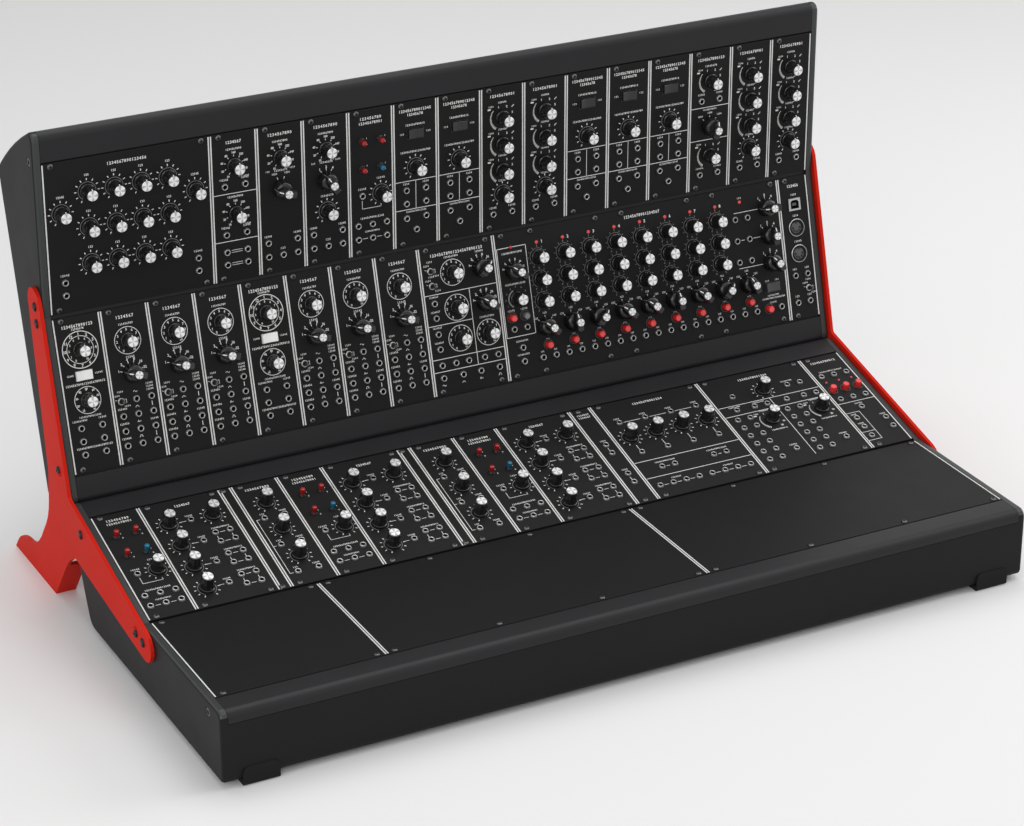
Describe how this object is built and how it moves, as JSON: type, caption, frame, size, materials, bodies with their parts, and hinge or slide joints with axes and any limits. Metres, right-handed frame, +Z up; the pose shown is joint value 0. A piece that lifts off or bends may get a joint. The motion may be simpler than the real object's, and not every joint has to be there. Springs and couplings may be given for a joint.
{
  "type": "modular synthesizer",
  "caption": "Modular synthesizer in a low case with a second case stood up behind it on bent side brackets, filled with black panels of knobs, switches and buttons.",
  "frame": {"origin": "on the floor, under the middle of the whole instrument", "axes": "+X to the right of a player who faces it, +Y to the back, +Z up"},
  "size_m": [0.734, 0.4506, 0.4053],
  "materials": {
    "case_shell": "black powder coat, fine matte texture",
    "rail": "black anodised, satin",
    "board": "green circuit board",
    "panel": "black painted, matte, with white print",
    "red_plastic": "red",
    "blue_plastic": "blue",
    "knob": "black, fluted, with a bright metal cap",
    "foot": "black rubber",
    "black_plastic": "black",
    "white_plastic": "white",
    "metal_lever": "bright plated",
    "grey_plastic": "dark grey",
    "bracket": "red powder coat, satin"
  },
  "bodies": {
    "frame": {"lower_case_tray": "case_shell", "lower_middle_rail": "rail", "lower_supply_board": "board", "control_voltages_module": "panel", "mixer_module": "panel", "narrow_blank_module": "panel", "attenuators_module": "panel", "trigger_converter_module": "panel", "wide_attenuators_module": "panel", "interface_module": "panel", "sequential_switch_module": "panel", "blank_module": "panel", "wide_blank_module": "panel", "lower_front_rail": "rail", "lower_rear_rail": "rail", "left_front_foot": "foot", "left_rear_foot": "foot", "right_front_foot": "foot", "right_rear_foot": "foot", "upper_case_tray": "case_shell", "upper_middle_rail": "rail", "upper_supply_board": "board", "filter_bank_module": "panel", "filter_module": "panel", "high_pass_module": "panel", "low_pass_module": "panel", "amplifier_module": "panel", "envelope_module": "panel", "trigger_delay_module": "panel", "oscillator_driver_module": "panel", "oscillator_module": "panel", "wide_oscillator_module": "panel", "sequencer_module": "panel", "digital_input_module": "panel", "upper_front_rail": "rail", "upper_rear_rail": "rail", "right_bracket": "bracket", "left_bracket": "bracket"},
    "bank_low_knob": {"bank_low_knob": "knob"},
    "filter_knob": {"filter_knob": "knob"},
    "envelope_knob": {"envelope_knob": "knob"},
    "driver_tune_knob": {"driver_tune_knob": "knob"},
    "stage_knob": {"stage_knob": "knob"},
    "mixer_knob": {"mixer_knob": "knob"},
    "attenuator_knob": {"attenuator_knob": "knob"},
    "high_pass_selector": {"high_pass_selector": "knob"},
    "oscillator_selector": {"oscillator_selector": "knob"},
    "stage_selector": {"stage_selector": "knob"},
    "sequencer_selector": {"sequencer_selector": "knob"},
    "red_toggle": {"red_toggle": "red_plastic"},
    "blue_toggle": {"blue_toggle": "blue_plastic"},
    "oscillator_toggle": {"oscillator_toggle": "metal_lever"},
    "wide_oscillator_toggle": {"wide_oscillator_toggle": "metal_lever"},
    "amplifier_rocker": {"amplifier_rocker": "black_plastic"},
    "driver_rocker": {"driver_rocker": "white_plastic"},
    "sequencer_rocker": {"sequencer_rocker": "black_plastic"},
    "sequencer_start_button": {"sequencer_start_button": "red_plastic"},
    "sequencer_stop_button": {"sequencer_stop_button": "grey_plastic"},
    "stage_button": {"stage_button": "red_plastic"},
    "switch_button": {"switch_button": "red_plastic"}
  },
  "joints": [
    {"name": "bank_low_knob_turn", "type": "hinge", "parent": "frame", "child": "bank_low_knob", "pos_m": [-0.34163, 0.12154, 0.33666], "axis": [0, -1, 0], "range_deg": [-270, 30]},
    {"name": "filter_knob_turn", "type": "hinge", "parent": "frame", "child": "filter_knob", "pos_m": [-0.19304, 0.12154, 0.35196], "axis": [0, -1, 0], "range_deg": [-150, 150]},
    {"name": "envelope_knob_turn", "type": "hinge", "parent": "frame", "child": "envelope_knob", "pos_m": [0.0508, 0.12154, 0.35196], "axis": [0, -1, 0], "range_deg": [-150, 150]},
    {"name": "driver_tune_knob_turn", "type": "hinge", "parent": "frame", "child": "driver_tune_knob", "pos_m": [-0.33528, 0.11385, 0.22104], "axis": [0, -0.9659, 0.2588], "range_deg": [-150, 150]},
    {"name": "stage_knob_turn", "type": "hinge", "parent": "frame", "child": "stage_knob", "pos_m": [0.08128, 0.11435, 0.2229], "axis": [0, -0.9659, 0.2588], "range_deg": [-150, 150]},
    {"name": "mixer_knob_turn", "type": "hinge", "parent": "frame", "child": "mixer_knob", "pos_m": [-0.29845, 0.0311, 0.09145], "axis": [0, -0.2588, 0.9659], "range_deg": [-150, 150]},
    {"name": "attenuator_knob_turn", "type": "hinge", "parent": "frame", "child": "attenuator_knob", "pos_m": [-0.21336, 0.0311, 0.09145], "axis": [0, -0.2588, 0.9659], "range_deg": [-150, 150]},
    {"name": "high_pass_selector_turn", "type": "hinge", "parent": "frame", "child": "high_pass_selector", "pos_m": [-0.1524, 0.12154, 0.32446], "axis": [0, -1, 0], "range_deg": [-150, 0]},
    {"name": "oscillator_selector_turn", "type": "hinge", "parent": "frame", "child": "oscillator_selector", "pos_m": [-0.29464, 0.10686, 0.19498], "axis": [0, -0.9659, 0.2588], "range_deg": [-150, 0]},
    {"name": "stage_selector_turn", "type": "hinge", "parent": "frame", "child": "stage_selector", "pos_m": [0.08128, 0.09851, 0.16382], "axis": [0, -0.9659, 0.2588], "range_deg": [-90, 0]},
    {"name": "sequencer_selector_turn", "type": "hinge", "parent": "frame", "child": "sequencer_selector", "pos_m": [0.31069, 0.11521, 0.22613], "axis": [0, -0.9659, 0.2588], "range_deg": [-72, 0]},
    {"name": "red_toggle_tilt", "type": "hinge", "parent": "frame", "child": "red_toggle", "pos_m": [-0.34361, 0.0316, 0.09158], "axis": [1, 0, 0], "range_deg": [-12, 12]},
    {"name": "blue_toggle_tilt", "type": "hinge", "parent": "frame", "child": "blue_toggle", "pos_m": [-0.32695, 0.00839, 0.08536], "axis": [1, 0, 0], "range_deg": [-12, 12]},
    {"name": "oscillator_toggle_tilt", "type": "hinge", "parent": "frame", "child": "oscillator_toggle", "pos_m": [-0.30765, 0.10131, 0.17425], "axis": [1, 0, 0], "range_deg": [-12, 12]},
    {"name": "wide_oscillator_toggle_tilt", "type": "hinge", "parent": "frame", "child": "wide_oscillator_toggle", "pos_m": [-0.02093, 0.11568, 0.22787], "axis": [1, 0, 0], "range_deg": [-12, 12]},
    {"name": "amplifier_rocker_rock", "type": "hinge", "parent": "frame", "child": "amplifier_rocker", "pos_m": [-0.03048, 0.12154, 0.3517], "axis": [0, 0, 1], "range_deg": [-7, 7]},
    {"name": "driver_rocker_rock", "type": "hinge", "parent": "frame", "child": "driver_rocker", "pos_m": [-0.33528, 0.10842, 0.20081], "axis": [0, 0.2588, 0.9659], "range_deg": [-7, 7]},
    {"name": "sequencer_rocker_rock", "type": "hinge", "parent": "frame", "child": "sequencer_rocker", "pos_m": [0.30937, 0.09665, 0.15687], "axis": [0, 0.2588, 0.9659], "range_deg": [-7, 7]},
    {"name": "sequencer_start_button_press", "type": "slide", "parent": "frame", "child": "sequencer_start_button", "axis": [0, 0.9659, -0.2588], "range_m": [0, 0.0015], "stiffness_N_per_m": 300},
    {"name": "sequencer_stop_button_press", "type": "slide", "parent": "frame", "child": "sequencer_stop_button", "axis": [0, 0.9659, -0.2588], "range_m": [0, 0.0015], "stiffness_N_per_m": 300},
    {"name": "stage_button_press", "type": "slide", "parent": "frame", "child": "stage_button", "axis": [0, 0.9659, -0.2588], "range_m": [0, 0.0015], "stiffness_N_per_m": 300},
    {"name": "switch_button_press", "type": "slide", "parent": "frame", "child": "switch_button", "axis": [0, 0.2588, -0.9659], "range_m": [0, 0.0015], "stiffness_N_per_m": 300}
  ]
}
